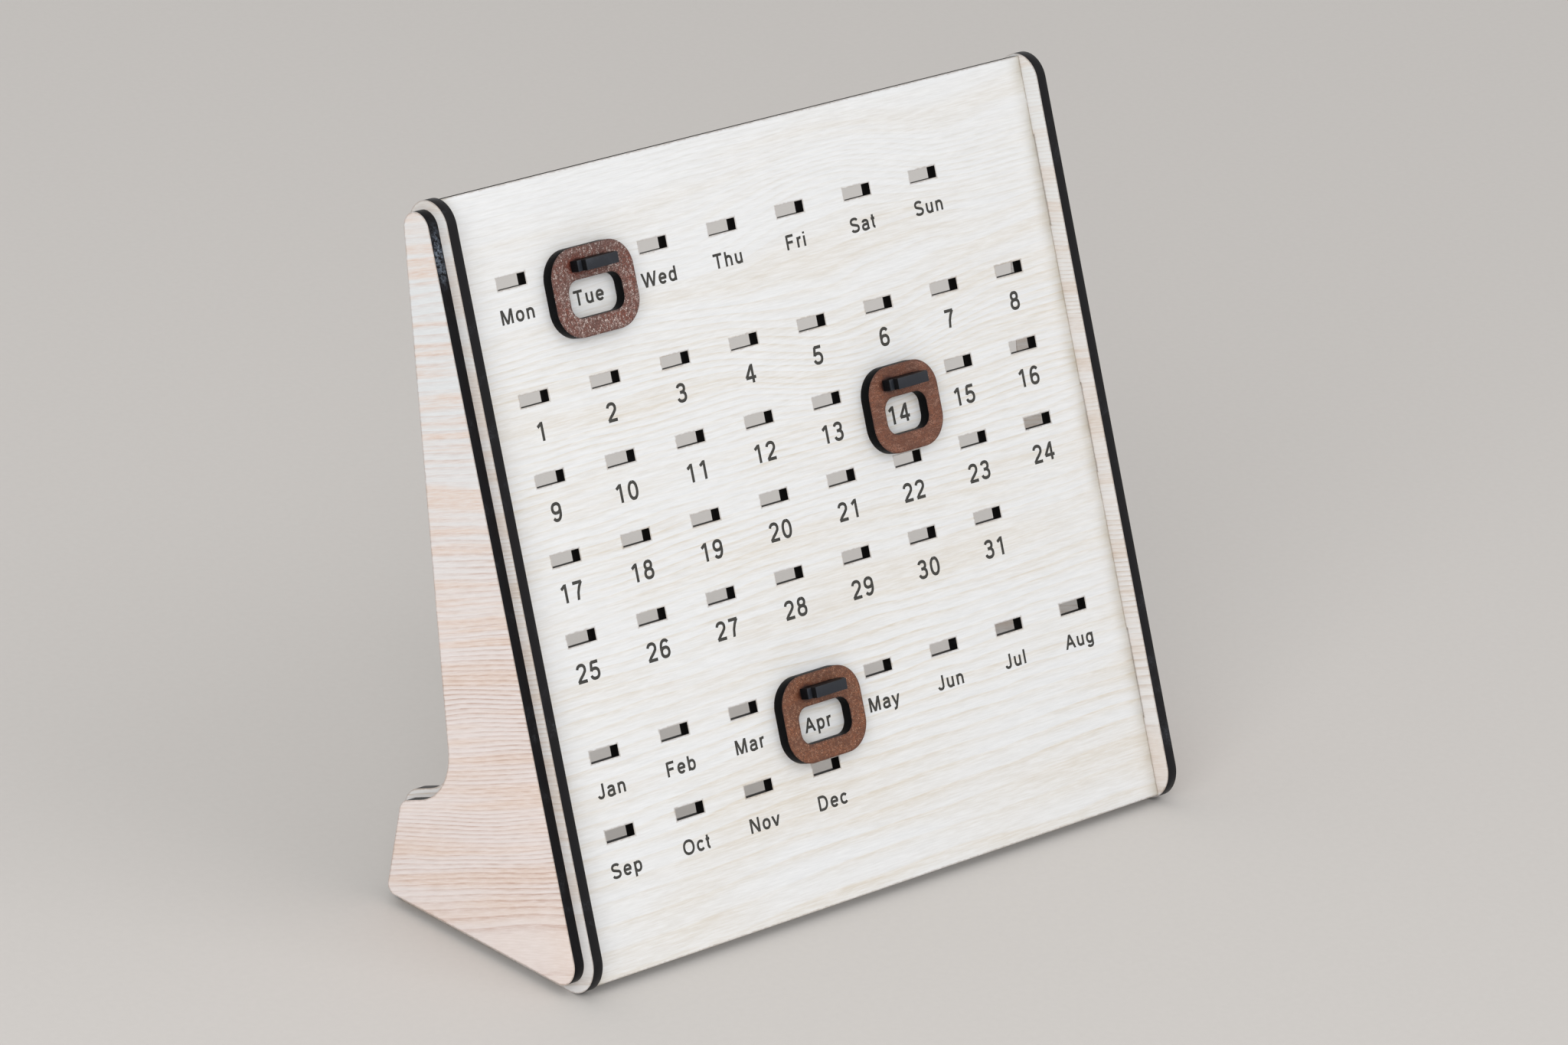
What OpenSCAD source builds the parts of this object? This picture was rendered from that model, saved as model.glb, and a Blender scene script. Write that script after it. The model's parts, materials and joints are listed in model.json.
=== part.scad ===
// Perpetual desk calendar: a slotted board that leans back between two double side
// plates, with three pull-out markers that frame the weekday, the day and the month.
// Millimetres. +X is the reader's right, the reader looks along +Y, +Z is up.
// The origin is on the table, in the middle of the stand.

/* [Board] */
// Thickness of the laminated board that every flat piece is cut from
sheet = 3.2; // [2.5:0.1:4]
// Gap left round a glued tab, on each side of it
tab_fit = 0.1; // [0.05:0.05:0.3]

/* [Slot grid] */
// Columns of slots
cols = 8; // [7:1:10]
// Distance between neighbouring columns
col_pitch = 24; // [22:0.5:30]
// Distance between neighbouring rows of one group
row_pitch = 20.5; // [20:0.5:28]
// Distance from the last row of one group to the first row of the next
group_gap = 30; // [26:0.5:40]
// Width of a slot
slot_w = 9.5; // [8:0.1:12]
// Height of a slot
slot_h = 3.1; // [2.4:0.1:4]
// Distance from a slot's middle down to the middle of its label
label_drop = 8.45; // [8:0.05:10]

/* [Front panel] */
// From the middle of an outer slot to the end of the panel
side_margin = 18; // [16:0.5:26]
// From the panel's top edge to the middle of the weekday slots
top_margin = 24.2; // [12:0.1:40]
// From the middle of the last month slots to the panel's bottom edge
bottom_margin = 35.3; // [24:0.1:60]
// Length of each tab that joins the panel to a side plate
panel_tab = 24; // [12:1:32]
// Tabs on each end of the panel
panel_tabs = 3; // [2:1:4]

/* [Stand] */
// How far the panel leans back from upright, in degrees
lean = 22; // [16:0.5:28]
// How far the upper rear edge of a side leans, in degrees
back_lean = 12; // [8:0.5:15]
// How far the rear edge of the foot splays out, in degrees
heel_splay = 7; // [0:0.5:12]
// How far the inner side's front edge stands in front of the panel's face
front_lip = 5.4; // [3:0.1:8]
// From the side's front bottom corner up to the panel's bottom edge
panel_lift = 4.9; // [4:0.1:10]
// Length of an inner side's bottom edge, measured to its sharp corners
foot_depth = 81.2; // [76:0.1:100]
// Height of the foot's shoulder, measured to its sharp corner
foot_h = 31.2; // [28:0.1:40]
// How far an inner side reaches above the panel, up the slope
top_rise = 0.7; // [0:0.1:3]
// Radius of the full round at the top of an inner side
top_r = 7.4; // [6:0.1:9]
// Radius of an inner side's front bottom corner
toe_r = 8.4; // [6:0.1:10]
// Radius of an inner side's rear bottom corner
heel_r = 5; // [4:0.1:8]
// Radius of an inner side's shoulder
shoulder_r = 7; // [5:0.1:9]
// Radius of the inner side's hollow corner above the foot
hollow_r = 12.5; // [8:0.5:18]
// How far an outer side's outline is drawn in from the inner side's, all round
layer_step = 2.6; // [1.5:0.1:3.5]
// How far an outer side is shifted to the rear of that, which leaves its front step wider
layer_back = 0.9; // [0:0.1:1.2]

/* [Foot rail] */
// From the front bottom corner of the sides back to the rail
rail_back = 30; // [24:0.5:50]
// Gap between the rail and the table
rail_lift = 3; // [2:0.5:6]
// Height of the rail
rail_h = 12; // [8:0.5:14]
// Height of the tab at each end of the rail
rail_tab = 6; // [4:0.5:7]

/* [Markers] */
// Width of the weekday and month rings
wide_ring = 27.6; // [25:0.1:29]
// Width of the day ring
narrow_ring = 24.6; // [22:0.1:25]
// Width of the ring's rim beside and below the window
rim = 4.85; // [3:0.05:5.5]
// Height of the window
window_h = 9.8; // [8:0.1:10.5]
// From the middle of the peg up to the ring's top edge
ring_head = 4.65; // [4:0.05:8]
// Outer corner radius of a ring
ring_r = 7.8; // [4:0.1:9]
// Corner radius of a window
window_r = 3.4; // [1:0.1:4]
// Play between a peg and a panel slot, on each side
slot_play = 0.15; // [0.1:0.05:0.3]
// Gap between a peg and the slot of its own ring, on each side
ring_fit = 0.05; // [0.05:0.05:0.15]
// Length of the tongue that stands out behind the panel
tongue_out = 3; // [2:0.5:5]
// Bevel at the end of the tongue
tongue_bevel = 0.8; // [0.4:0.1:1.2]
// Width of the collar that sits on the ring
collar_w = 13.4; // [12:0.1:16]
// Depth of the collar
collar_t = 2.8; // [2:0.1:4]
// Width of the grip in front of the collar
grip_w = 10.8; // [8:0.1:11.8]
// Depth of the grip
grip_t = 1.9; // [1:0.1:4]

/* [Date shown] */
// Number of the weekday, counted from Monday
weekday_number = 2; // [1:1:7]
// Number of the day in the month
day_number = 14; // [1:1:31]
// Number of the month, counted from January
month_number = 4; // [1:1:12]

/* [Hidden] */
$fn = 96;
// degrees between neighbouring points of a side's round corners
arc_step = 4;
weekdays = 7;
days = 31;
months = 12;
white_laminate = [0.93, 0.92, 0.90];
brown_laminate = [0.46, 0.30, 0.24];
charred_black = [0.16, 0.17, 0.19];
// a cut runs this far past the face that it opens
past = 1;

// Rows, counted downwards from the weekday slots
day_rows = ceil(days / cols);
month_rows = ceil(months / cols);
first_day_drop = group_gap;
first_month_drop = first_day_drop + (day_rows - 1) * row_pitch + group_gap;
last_drop = first_month_drop + (month_rows - 1) * row_pitch;

// The panel, in the panel's own plane: x to the right, s up the slope from the side's front corner
panel_w = (cols - 1) * col_pitch + 2 * side_margin;
panel_h = top_margin + last_drop + bottom_margin;
panel_top = panel_lift + panel_h;
weekday_s = panel_top - top_margin;

function column_x(i) = (i % cols - (cols - 1) / 2) * col_pitch;
function slots_of(count, drop) = [
    for (i = [0:count - 1]) [column_x(i), weekday_s - drop - floor(i / cols) * row_pitch]
];
weekday_slots = slots_of(weekdays, 0);
day_slots = slots_of(days, first_day_drop);
month_slots = slots_of(months, first_month_drop);

// Middles of the panel's tabs, evenly spread up its ends
tab_pitch = panel_h / panel_tabs;
tab_middles = [for (i = [0:panel_tabs - 1]) panel_lift + tab_pitch / 2 + i * tab_pitch];

// The side's outline: each edge has a unit normal that points out of the board
front_n = [-cos(lean), sin(lean)];
table_n = [0, -1];
heel_n = [cos(heel_splay), sin(heel_splay)];
instep_n = [sin(lean), cos(lean)];
back_n = [cos(back_lean), -sin(back_lean)];

// The point that lies d beyond the edge through p with normal n, and d beyond the edge
// through q with normal m
function beyond(p, n, q, m, d) =
    let (a = n * p + d, b = m * q + d, det = n.x * m.y - n.y * m.x)
    [(a * m.y - b * n.y) / det, (n.x * b - m.x * a) / det];

toe = [0, 0];
heel = [foot_depth, 0];
shoulder = [foot_depth - foot_h * tan(heel_splay), foot_h];
// the top round touches the front edge and reaches a little higher up the slope than the panel
top_c = instep_n * (panel_top + top_rise - top_r) - front_n * top_r;
back_p = top_c + back_n * top_r;

// Corners in order round the outline: centre of the arc, its radius (negative where the
// corner is hollow), normal of the edge before it and normal of the edge after it
side_corners = [
    [beyond(toe, front_n, toe, table_n, -toe_r), toe_r, front_n, table_n],
    [beyond(heel, table_n, heel, heel_n, -heel_r), heel_r, table_n, heel_n],
    [beyond(shoulder, heel_n, shoulder, instep_n, -shoulder_r), shoulder_r, heel_n, instep_n],
    [beyond(shoulder, instep_n, back_p, back_n, hollow_r), -hollow_r, instep_n, back_n],
    [top_c, top_r, back_n, front_n],
];

// Points along the arc of the corner c, with the outline drawn in by inset. The arc turns
// the short way from one normal to the next, so a hollow corner runs backwards
function corner_arc(c, inset) =
    let (n = c[2], m = c[3],
         turn = atan2(n.x * m.y - n.y * m.x, n * m),
         steps = ceil(abs(turn) / arc_step))
    [for (i = [0:steps])
        let (a = atan2(n.y, n.x) + turn * i / steps)
        c[0] + (c[1] - inset) * [cos(a), sin(a)]];

// The stand's middle, so that the origin lies under it
front_reach = side_corners[0][0].x - toe_r;
rear_reach = max(side_corners[1][0].x + heel_r, side_corners[2][0].x + shoulder_r, top_c.x + top_r);
mid_y = (front_reach + rear_reach) / 2;

// A peg's tongue clears the panel's slot, and its ring's slot clears the tongue
peg_t = slot_h - 2 * slot_play;
tongue_w = slot_w - 2 * slot_play;
tongue_l = 2 * sheet + tongue_out;

// Places its children in the panel's plane: x to the right, y up the slope, z out of the
// panel's face towards the reader
module on_panel() {
    translate([0, -mid_y, 0])
        rotate([90 - lean, 0, 0])
            translate([0, 0, -front_lip])
                children();
}

// Places its children in the plane of a side: x to the rear, y up, z to the reader's right
module on_side(x) {
    translate([x, -mid_y, 0])
        rotate([90, 0, 90])
            children();
}

// Block that is centred on x and y and stands on z = 0
module block(w, h, t) {
    translate([-w / 2, -h / 2, 0])
        cube([w, h, t]);
}

// Rectangle with round corners, centred
module rounded_rectangle(w, h, r) {
    square([w - 2 * r, h], center = true);
    square([w, h - 2 * r], center = true);
    for (x = [-1, 1], y = [-1, 1])
        translate([x * (w / 2 - r), y * (h / 2 - r)])
            circle(r);
}

// Outline of a side, drawn in by inset all round
module side_outline(inset) {
    polygon([for (c = side_corners) each corner_arc(c, inset)]);
}

// The panel's tabs at one end, grown by gap all round and by more along x
module panel_end_tabs(end, gap, more) {
    for (s = tab_middles)
        translate([end * (panel_w + sheet - tab_fit) / 2, s, -sheet - gap])
            block(sheet - tab_fit + 2 * more, panel_tab + 2 * gap, sheet + 2 * gap);
}

// The rail's tab at one end, grown by gap all round and by more along x
module rail_end_tab(end, gap, more) {
    tab_bottom = rail_lift + (rail_h - rail_tab) / 2;
    translate([end * (panel_w + sheet - tab_fit) / 2, rail_back + sheet / 2 - mid_y, tab_bottom - gap])
        block(sheet - tab_fit + 2 * more, sheet + 2 * gap, rail_tab + 2 * gap);
}

// Slotted board with its tabs
module front_panel() {
    color(white_laminate)
        on_panel() {
            difference() {
                translate([-panel_w / 2, panel_lift, -sheet])
                    cube([panel_w, panel_h, sheet]);
                for (p = concat(weekday_slots, day_slots, month_slots))
                    translate([p.x, p.y, -sheet - past])
                        block(slot_w, slot_h, sheet + 2 * past);
            }
            for (end = [-1, 1])
                panel_end_tabs(end, 0, 0);
        }
}

// Larger side plate, with mortises for the panel and the rail
module inner_side(end) {
    color(white_laminate)
        difference() {
            on_side(end * (panel_w + sheet) / 2 - sheet / 2)
                linear_extrude(sheet)
                    side_outline(0);
            on_panel()
                panel_end_tabs(end, tab_fit, past);
            rail_end_tab(end, tab_fit, past);
        }
}

// Smaller side plate that covers the tab ends
module outer_side(end) {
    color(white_laminate)
        on_side(end * (panel_w + 3 * sheet) / 2 - sheet / 2)
            linear_extrude(sheet)
                translate([layer_back, 0])
                    side_outline(layer_step);
}

// Low cross rail between the feet
module foot_rail() {
    color(white_laminate) {
        translate([-panel_w / 2, rail_back - mid_y, rail_lift])
            cube([panel_w, sheet, rail_h]);
        for (end = [-1, 1])
            rail_end_tab(end, 0, 0);
    }
}

// Ring of a marker round the slot at p: its window frames the label below the slot
module marker_ring(p, ring_w) {
    ring_h = ring_head + label_drop + window_h / 2 + rim;
    color(brown_laminate)
        on_panel()
            translate([p.x, p.y, 0])
                difference() {
                    translate([0, ring_head - ring_h / 2, 0])
                        linear_extrude(sheet)
                            rounded_rectangle(ring_w, ring_h, ring_r);
                    translate([0, -label_drop, -past])
                        linear_extrude(sheet + 2 * past)
                            rounded_rectangle(ring_w - 2 * rim, window_h, window_r);
                    translate([0, 0, -past])
                        block(tongue_w + 2 * ring_fit, peg_t + 2 * ring_fit, sheet + 2 * past);
                }
}

// Flat peg at the slot p: grip, collar on the ring, and tongue through ring and panel
module marker_peg(p) {
    half_tongue = tongue_w / 2;
    end_z = sheet - tongue_l;
    color(charred_black)
        on_panel()
            translate([p.x, p.y + peg_t / 2, 0])
                rotate([90, 0, 0])
                    linear_extrude(peg_t) {
                        polygon([
                            [-half_tongue, sheet], [-half_tongue, end_z + tongue_bevel],
                            [tongue_bevel - half_tongue, end_z], [half_tongue - tongue_bevel, end_z],
                            [half_tongue, end_z + tongue_bevel], [half_tongue, sheet],
                        ]);
                        translate([-collar_w / 2, sheet])
                            square([collar_w, collar_t]);
                        translate([-grip_w / 2, sheet + collar_t])
                            square([grip_w, grip_t]);
                    }
}

module left_inner_side() { inner_side(-1); }
module right_inner_side() { inner_side(1); }
module left_outer_side() { outer_side(-1); }
module right_outer_side() { outer_side(1); }
module weekday_ring() { marker_ring(weekday_slots[weekday_number - 1], wide_ring); }
module weekday_peg() { marker_peg(weekday_slots[weekday_number - 1]); }
module day_ring() { marker_ring(day_slots[day_number - 1], narrow_ring); }
module day_peg() { marker_peg(day_slots[day_number - 1]); }
module month_ring() { marker_ring(month_slots[month_number - 1], wide_ring); }
module month_peg() { marker_peg(month_slots[month_number - 1]); }

front_panel();
left_inner_side();
right_inner_side();
left_outer_side();
right_outer_side();
foot_rail();
weekday_ring();
weekday_peg();
day_ring();
day_peg();
month_ring();
month_peg();
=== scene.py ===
# %% [markdown]
# # Perpetual desk calendar
#
# A slotted board leans back between two double side plates. Three markers, each a ring
# with a stepped peg, plug into the slots and frame the weekday, the day and the month.
# The panel, sides, rail and rings are cut by laser from one laminated fibreboard, 3.2 mm
# thick, and the pegs are 2.8 mm thick. So the whole look rests on two things: the printed
# laminate and the charred cut edge.
#
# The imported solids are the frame. They are loaded first, and nothing here moves them.

# %% The frame
import json
import math

import bmesh
import bpy
from mathutils import Matrix, Vector
from mathutils.geometry import delaunay_2d_cdt


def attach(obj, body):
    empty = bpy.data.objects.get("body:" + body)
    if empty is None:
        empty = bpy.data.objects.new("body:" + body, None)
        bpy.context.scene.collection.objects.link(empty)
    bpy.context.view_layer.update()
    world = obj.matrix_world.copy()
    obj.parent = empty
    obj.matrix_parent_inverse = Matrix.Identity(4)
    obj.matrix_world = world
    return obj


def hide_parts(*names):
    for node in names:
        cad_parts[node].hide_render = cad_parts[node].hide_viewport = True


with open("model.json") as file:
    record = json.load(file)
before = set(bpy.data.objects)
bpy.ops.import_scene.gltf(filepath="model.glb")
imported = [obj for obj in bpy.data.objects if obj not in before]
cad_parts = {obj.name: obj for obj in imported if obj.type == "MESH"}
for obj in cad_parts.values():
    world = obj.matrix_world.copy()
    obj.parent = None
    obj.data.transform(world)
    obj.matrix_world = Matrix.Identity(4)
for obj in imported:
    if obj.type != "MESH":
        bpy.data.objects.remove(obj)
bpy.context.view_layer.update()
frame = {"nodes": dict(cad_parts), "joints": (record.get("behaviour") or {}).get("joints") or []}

print("nodes:", ", ".join(sorted(frame["nodes"])))

# %% [markdown]
# ## Directions and units
#
# Blender works in metres, and a maker thinks in millimetres, so every size is written
# as a number times MM. The markers pull straight out of the panel, so their slide axis
# is the panel's own normal: it gives the lean without a second copy of the angle.

# %% Directions and units
MM = 0.001
RIGHT = Vector((1, 0, 0))
OUT = Vector(frame["joints"][0]["axis"]).normalized()  # out of the panel, to the reader
UP = OUT.cross(RIGHT)  # up the slope of the panel
LEAN = math.atan2(OUT.z, -OUT.y)
print(f"the panel leans back {math.degrees(LEAN):.1f} degrees")


def reach(node, way):
    """How far a node reaches along a direction, as (lowest, highest), in metres."""
    steps = [v.co.dot(way) for v in frame["nodes"][node].data.vertices]
    return min(steps), max(steps)


def halfway(node, way):
    """The middle of a node's reach along a direction."""
    return sum(reach(node, way)) / 2


FACE = reach("front_panel", OUT)[1]  # the panel's front face, along OUT
BOARD = FACE - reach("front_panel", OUT)[0]  # thickness of the board
print(f"board thickness {BOARD / MM:.2f} mm")


def on_panel(x, height, out=0.0):
    """The point at x, that height up the slope and that far out of the panel's face."""
    return RIGHT * x + UP * height + OUT * (FACE + out)


# %% [markdown]
# ## Helpers for materials
#
# Colours are picked as sRGB hex values, the way a paint chart gives them, and Blender
# mixes light in linear values, so one function converts. One more adds a node: its
# settings, and what goes into its sockets, either a value or another node's output. The
# last one tells how near a point is to a spot, for a knot, a burn or a patch of ash.


# %% Helpers for materials
def colour(hex_code):
    """sRGB hex colour as the linear RGBA that Blender's sockets take."""
    channels = [int(hex_code[i:i + 2], 16) / 255 for i in (1, 3, 5)]
    linear = [c / 12.92 if c <= 0.04045 else ((c + 0.055) / 1.055) ** 2.4 for c in channels]
    return (*linear, 1.0)


def add(tree, kind, inputs=(), **settings):
    """Adds a shader node. settings are its properties. inputs fills its sockets, by name or
    number: an output is linked, and anything else is set as the socket's value."""
    node = tree.nodes.new("ShaderNode" + kind)
    for name, value in settings.items():
        setattr(node, name, value)
    for name, value in dict(inputs).items():
        if isinstance(value, bpy.types.NodeSocket):
            tree.links.new(value, node.inputs[name])
        else:
            node.inputs[name].default_value = value
    return node


def start_material(name, **surface):
    """A new material with an empty node tree, its shader and its output. surface gives the
    shader's own constant values, with _ for the space in a socket's name."""
    material = bpy.data.materials.new(name)
    material.use_nodes = True
    tree = material.node_tree
    tree.nodes.clear()
    constants = {key.replace("_", " "): value for key, value in surface.items()}
    shader = add(tree, "BsdfPrincipled", constants)
    add(tree, "OutputMaterial", {"Surface": shader.outputs[0]})
    print("material:", name)
    return material, tree, shader


def near_spot(tree, spot, size, core=0.3, strength=1.0):
    """Output that is 0 outside an ellipsoid round the point spot, and rises to strength at the
    share core of its size: half its lengths to the right, out of the panel and up its slope."""
    place = add(tree, "TexCoord").outputs["Object"]
    local = add(tree, "Mapping", {"Vector": place, "Location": spot, "Rotation": (-LEAN, 0, 0),
                                  "Scale": size}, vector_type="TEXTURE")
    away = add(tree, "VectorMath", {0: local.outputs[0]}, operation="LENGTH")
    near = add(tree, "MapRange", {"Value": away.outputs["Value"], "From Min": 1.0, "From Max": core,
                                  "To Max": strength}, interpolation_type="SMOOTHSTEP")
    return near.outputs[0]


# %% [markdown]
# ## Woodgrain melamine
#
# The board's face is melamine laminate: a printed paper under clear melamine resin,
# pressed against a matt plate. It shows a bleached softwood. A plain-sawn plank is a
# flat cut through a log, so its lines are where that plane meets the growth rings, which
# are cylinders round the heart. That is easy to draw: the distance to the heart, counted
# in rings. Near the heart's height the rings meet the face at a shallow angle and lie
# far apart, and further up they lie close. A slow noise makes them wander, and they bow
# round a knot.
#
# The alternative, Blender's Wave texture, gives even bands that read as corduroy.


# %% Growth rings
def growth_rings(tree, upright, seed, heart, depth, ring, wander_height, widening=0, knots=()):
    """Outputs with the distance to the log's heart, and with the season: 0 to 1 in each ring.
    heart is the height up the slope nearest the log's heart, and depth how far behind the face
    it lies. ring is the width of a year's growth at that distance, and widening the power by
    which it grows further out. The rings wander up and down by wander_height in all. A knot is
    a point, half the size of the ellipsoid round it in which the rings bow, and how much they
    spread at it."""
    height = add(tree, "SeparateXYZ", {0: upright}).outputs["Z"]
    # near a knot the height above it counts for less, so the rings spread round it
    for knot, size, spread in knots:
        less = near_spot(tree, knot, size, strength=-spread)
        above = add(tree, "Math", {0: height, 1: knot.dot(UP)}, operation="SUBTRACT")
        height = add(tree, "Math", {0: above.outputs[0], 1: less, 2: height},
                     operation="MULTIPLY_ADD").outputs[0]

    # the rings wander a few millimetres over a stretch of some centimetres
    long_wave, cross_wave = 75 * MM, 30 * MM
    slow = add(tree, "Mapping", {
        "Vector": upright,
        "Location": (seed, seed, seed),
        "Scale": (1 / long_wave, 1 / long_wave, 1 / cross_wave)})
    wander = add(tree, "TexNoise", {"Vector": slow.outputs[0], "Scale": 1.0, "Detail": 2.5,
                                    "Roughness": 0.42})
    lowest = -heart - wander_height / 2
    shift = add(tree, "Math", {0: wander.outputs["Fac"], 1: wander_height, 2: lowest},
                operation="MULTIPLY_ADD")
    above_heart = add(tree, "Math", {0: height, 1: shift.outputs[0]}, operation="ADD")
    square = add(tree, "Math", {0: above_heart.outputs[0], 1: 2.0}, operation="POWER")
    sum_of_squares = add(tree, "Math", {0: square.outputs[0], 1: depth ** 2}, operation="ADD")
    distance = add(tree, "Math", {0: sum_of_squares.outputs[0]}, operation="SQRT").outputs[0]

    # a ring is ring * (distance / depth) ** widening wide, and the years are the integral of
    # one over that
    power = 1 - widening
    relative = add(tree, "Math", {0: distance, 1: depth}, operation="DIVIDE")
    grown = add(tree, "Math", {0: relative.outputs[0], 1: power}, operation="POWER")
    years = add(tree, "Math", {0: grown.outputs[0], 1: depth / (power * ring)},
                operation="MULTIPLY")
    season = add(tree, "Math", {0: years.outputs[0]}, operation="FRACT").outputs[0]
    return distance, season


# %% [markdown]
# Within a year the tone rises slowly to the dark latewood and drops back quickly. The lines
# of latewood are strong in some stretches of the print and all but gone in others.


# %% Lines of latewood
def latewood_lines(tree, upright, seed, season, boldness):
    """Output with how dark the lines are. season comes from growth_rings, and boldness is an
    output that weakens them as a whole."""
    rise_power, drop_start = 2.5, 0.88
    rise = add(tree, "Math", {0: season, 1: rise_power}, operation="POWER")
    drop = add(tree, "MapRange", {"Value": season, "From Min": drop_start, "From Max": 1.0,
                                  "To Min": 1.0, "To Max": 0.0}, interpolation_type="SMOOTHSTEP")
    line = add(tree, "Math", {0: rise.outputs[0], 1: drop.outputs[0]}, operation="MULTIPLY")

    patch_length, patch_height = 60 * MM, 14 * MM
    patch_place = add(tree, "Mapping", {
        "Vector": upright,
        "Location": (seed + 3, seed, seed),  # away from the noise that makes the rings wander
        "Scale": (1 / patch_length, 1 / patch_length, 1 / patch_height)})
    patch = add(tree, "TexNoise", {"Vector": patch_place.outputs[0], "Scale": 1.0, "Detail": 1.5})
    strength = add(tree, "MapRange", {"Value": patch.outputs["Fac"], "From Min": 0.35,
                                      "From Max": 0.65, "To Min": 0.3, "To Max": 1.0})
    strength = add(tree, "Math", {0: strength.outputs[0], 1: boldness}, operation="MULTIPLY")
    lines = add(tree, "Math", {0: line.outputs[0], 1: strength.outputs[0]}, operation="MULTIPLY")
    return lines.outputs[0]


# %% [markdown]
# Broad soft streaks of a warmer tone follow the rings. They are a noise too: stretched along
# the plank, and read off at the distance to the heart, so that they bend with the rings.


# %% Warm streaks
def warm_streaks(tree, upright, seed, distance, width, start, full):
    """Output with how much a streak shows. width is that of the streaks, and start and full
    are the levels of the noise where they start and where they are full."""
    streak_length = 90 * MM
    along = add(tree, "Mapping", {
        "Vector": upright,
        "Location": (seed, seed + 7, seed),  # away from the other two noises
        "Scale": (1 / streak_length, 1 / streak_length, 0)})
    widths = add(tree, "Math", {0: distance, 1: width}, operation="DIVIDE")
    across = add(tree, "CombineXYZ", {"Z": widths.outputs[0]})
    point = add(tree, "VectorMath", {0: along.outputs[0], 1: across.outputs[0]})
    streaks = add(tree, "TexNoise", {"Vector": point.outputs[0], "Scale": 1.0, "Detail": 2.0})
    shown = add(tree, "MapRange", {"Value": streaks.outputs["Fac"], "From Min": start,
                                   "From Max": full}, interpolation_type="SMOOTHSTEP")
    return shown.outputs[0]


# %% [markdown]
# The laser's heat has browned the faces in a narrow fringe along the cuts. Each laminated
# board gets an attribute that is 1 at a cut and 0 a fringe's width away, and a noise makes
# the fringe ragged.

# %% Scorched fringe
SCORCH = "scorch"  # name of that attribute


def scorched(tree, finish, hex_code, grain, start, full, most):
    """Output with the colour finish and a fringe laid over it. grain is the size of its rags.
    It starts where the attribute is about start, and where that is about full or more, it
    hides the share most of the finish."""
    place = add(tree, "TexCoord").outputs["Object"]
    scorch = add(tree, "Attribute", attribute_name=SCORCH).outputs["Fac"]
    uneven = add(tree, "TexNoise", {"Vector": place, "Scale": 1 / grain, "Detail": 3.0})
    rags = 0.9  # how far the noise moves the fringe's levels, from its lowest to its highest
    ragged = add(tree, "Math", {0: uneven.outputs["Fac"], 1: -rags, 2: rags / 2},
                 operation="MULTIPLY_ADD")
    level = add(tree, "Math", {0: scorch, 1: ragged.outputs[0]}, operation="ADD")
    cover = add(tree, "MapRange", {"Value": level.outputs[0], "From Min": start,
                                   "From Max": full, "To Max": most},
                interpolation_type="SMOOTHSTEP")
    mixed = add(tree, "Mix", {0: cover.outputs[0], 6: finish, 7: colour(hex_code)},
                data_type="RGBA")
    return mixed.outputs[2]


# %% [markdown]
# The print puts these together: a ground, the streaks, the lines, and fibres over all. The
# lines of the heartwood are warmer and stronger than those of the sapwood.


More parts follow.
